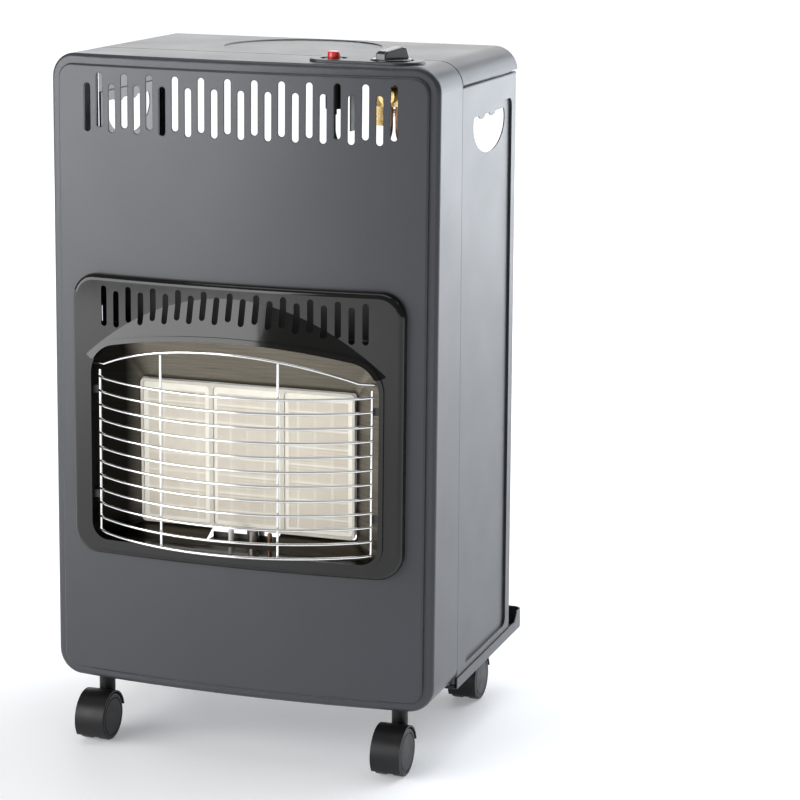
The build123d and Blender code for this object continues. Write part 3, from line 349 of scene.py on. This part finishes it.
# ------------------------------------------------------------------ floor, light, camera
def floor_material():
    m = Mat("pale_floor", Roughness=0.6, Specular_IOR_Level=0.2, Emission_Strength=0.6)
    m.b.inputs["Emission Color"].default_value = (0.96, 0.97, 1.0, 1.0)
    m.colour(m.ramp(m.noise(2.0, 2.0), [(0.3, (0.92, 0.92, 0.925)), (0.7, (0.95, 0.95, 0.955))]))
    m.bump(m.noise(300.0, 2.0), 0.02, 0.0005)
    # the sweep of the floor far behind the object is lit up, so that it stays pale
    length = m.node("ShaderNodeVectorMath", operation="LENGTH")
    m.link(m.co, length.inputs[0])
    glow = m.node("ShaderNodeMapRange")
    glow.inputs["From Min"].default_value = 1.6
    glow.inputs["From Max"].default_value = 4.2
    glow.inputs["To Min"].default_value = 0.24
    glow.inputs["To Max"].default_value = 1.0
    m.link(length.outputs["Value"], glow.inputs["Value"])
    m.link(glow.outputs[0], m.b.inputs["Emission Strength"])
    return m.m


mesh = bpy.data.meshes.new("studio_floor")
grid = [-40.0, -12.0, -4.0, 0.0, 4.0, 12.0, 40.0]
mesh.from_pydata([(x, y, 0.0) for y in grid for x in grid], [],
                 [(j * 7 + i, j * 7 + i + 1, j * 7 + i + 8, j * 7 + i + 7) for j in range(6) for i in range(6)])
floor = bpy.data.objects.new("studio_floor", mesh)
bpy.context.scene.collection.objects.link(floor)
mesh.materials.append(floor_material())

# a pale far wall, so that a low view has no dark band above the floor; it lights nothing
wall_mat = Mat("pale_wall", Roughness=1.0, Emission_Strength=1.0)
wall_mat.b.inputs["Base Color"].default_value = (0.9, 0.9, 0.9, 1.0)
wall_mat.b.inputs["Emission Color"].default_value = (1.0, 1.0, 1.0, 1.0)
wall_mesh = bpy.data.meshes.new("studio_wall")
ring = [(38.0 * math.cos(math.tau * i / 48), 38.0 * math.sin(math.tau * i / 48)) for i in range(48)]
wall_mesh.from_pydata([(x, y, z) for z in (-0.5, 60.0) for x, y in ring], [],
                      [(i, (i + 1) % 48, 48 + (i + 1) % 48, 48 + i) for i in range(48)])
wall = bpy.data.objects.new("studio_wall", wall_mesh)
bpy.context.scene.collection.objects.link(wall)
wall_mesh.materials.append(wall_mat.m)
wall.visible_diffuse = wall.visible_glossy = wall.visible_transmission = wall.visible_shadow = False


def softbox(name, loc, target, size_x, size_y, radiance, colour=(1, 1, 1)):
    d = bpy.data.lights.new(name, "AREA")
    d.shape = "RECTANGLE"
    d.size, d.size_y, d.color = size_x, size_y, colour
    d.energy = math.pi * radiance * size_x * size_y
    o = bpy.data.objects.new(name, d)
    bpy.context.scene.collection.objects.link(o)
    o.location = loc
    o.rotation_euler = (Vector(target) - Vector(loc)).to_track_quat("-Z", "Y").to_euler()
    o.visible_camera = False
    return o


softbox("softbox_left", (-2.1, -2.4, 1.2), (0, -0.15, 0.55), 3.3, 2.2, 5.0)
softbox("softbox_rear_right", (1.7, 2.7, 0.78), (0.2, 0.05, 0.3), 3.0, 1.5, 2.8, (0.88, 0.94, 1.0))
softbox("softbox_floor_right", (1.25, 1.7, 2.3), (1.1, 1.75, 0.0), 2.2, 2.6, 3.3, (0.88, 0.94, 1.0))
softbox("softbox_rear", (-1.2, 4.2, 1.5), (0, 0.05, 0.7), 3.6, 2.0, 1.7)
softbox("softbox_top", (0.0, 0.2, 3.2), (0, 0.1, 0.6), 2.6, 2.2, 1.6)

world = bpy.data.worlds.new("studio")
bpy.context.scene.world = world
world.use_nodes = True
world.node_tree.nodes["Background"].inputs["Color"].default_value = (0.98, 0.99, 1.0, 1.0)
world.node_tree.nodes["Background"].inputs["Strength"].default_value = 0.14

# camera: place, aim and lens worked out from the object's own edges
cam_at = Vector((1.018, -2.556, 0.978))
yaw, pitch, roll = math.radians(17.42), math.radians(-11.27), math.radians(0.65)
focal_px, centre_x, centre_y = 2635.0, 478.8, 334.3
fwd = Vector((-math.sin(yaw) * math.cos(pitch), math.cos(yaw) * math.cos(pitch), math.sin(pitch)))
right0 = Vector((math.cos(yaw), math.sin(yaw), 0.0))
up0 = right0.cross(fwd)
right = right0 * math.cos(roll) + up0 * math.sin(roll)
up = -right0 * math.sin(roll) + up0 * math.cos(roll)
cam_data = bpy.data.cameras.new("photo_camera")
cam_data.sensor_width = 36.0
cam_data.lens = focal_px / 800.0 * 36.0
cam_data.shift_x = (400.0 - centre_x) / 800.0
cam_data.shift_y = (centre_y - 400.0) / 800.0
cam_data.clip_end = 60.0
cam = bpy.data.objects.new("photo_camera", cam_data)
bpy.context.scene.collection.objects.link(cam)
rot = Matrix((right, up, -fwd)).transposed().to_4x4()
cam.matrix_world = Matrix.Translation(cam_at) @ rot
bpy.context.scene.camera = cam

bpy.context.scene.view_settings.view_transform = "Standard"
bpy.context.scene.view_settings.look = "None"
bpy.context.scene.view_settings.exposure = 0.0

bpy.context.view_layer.update()
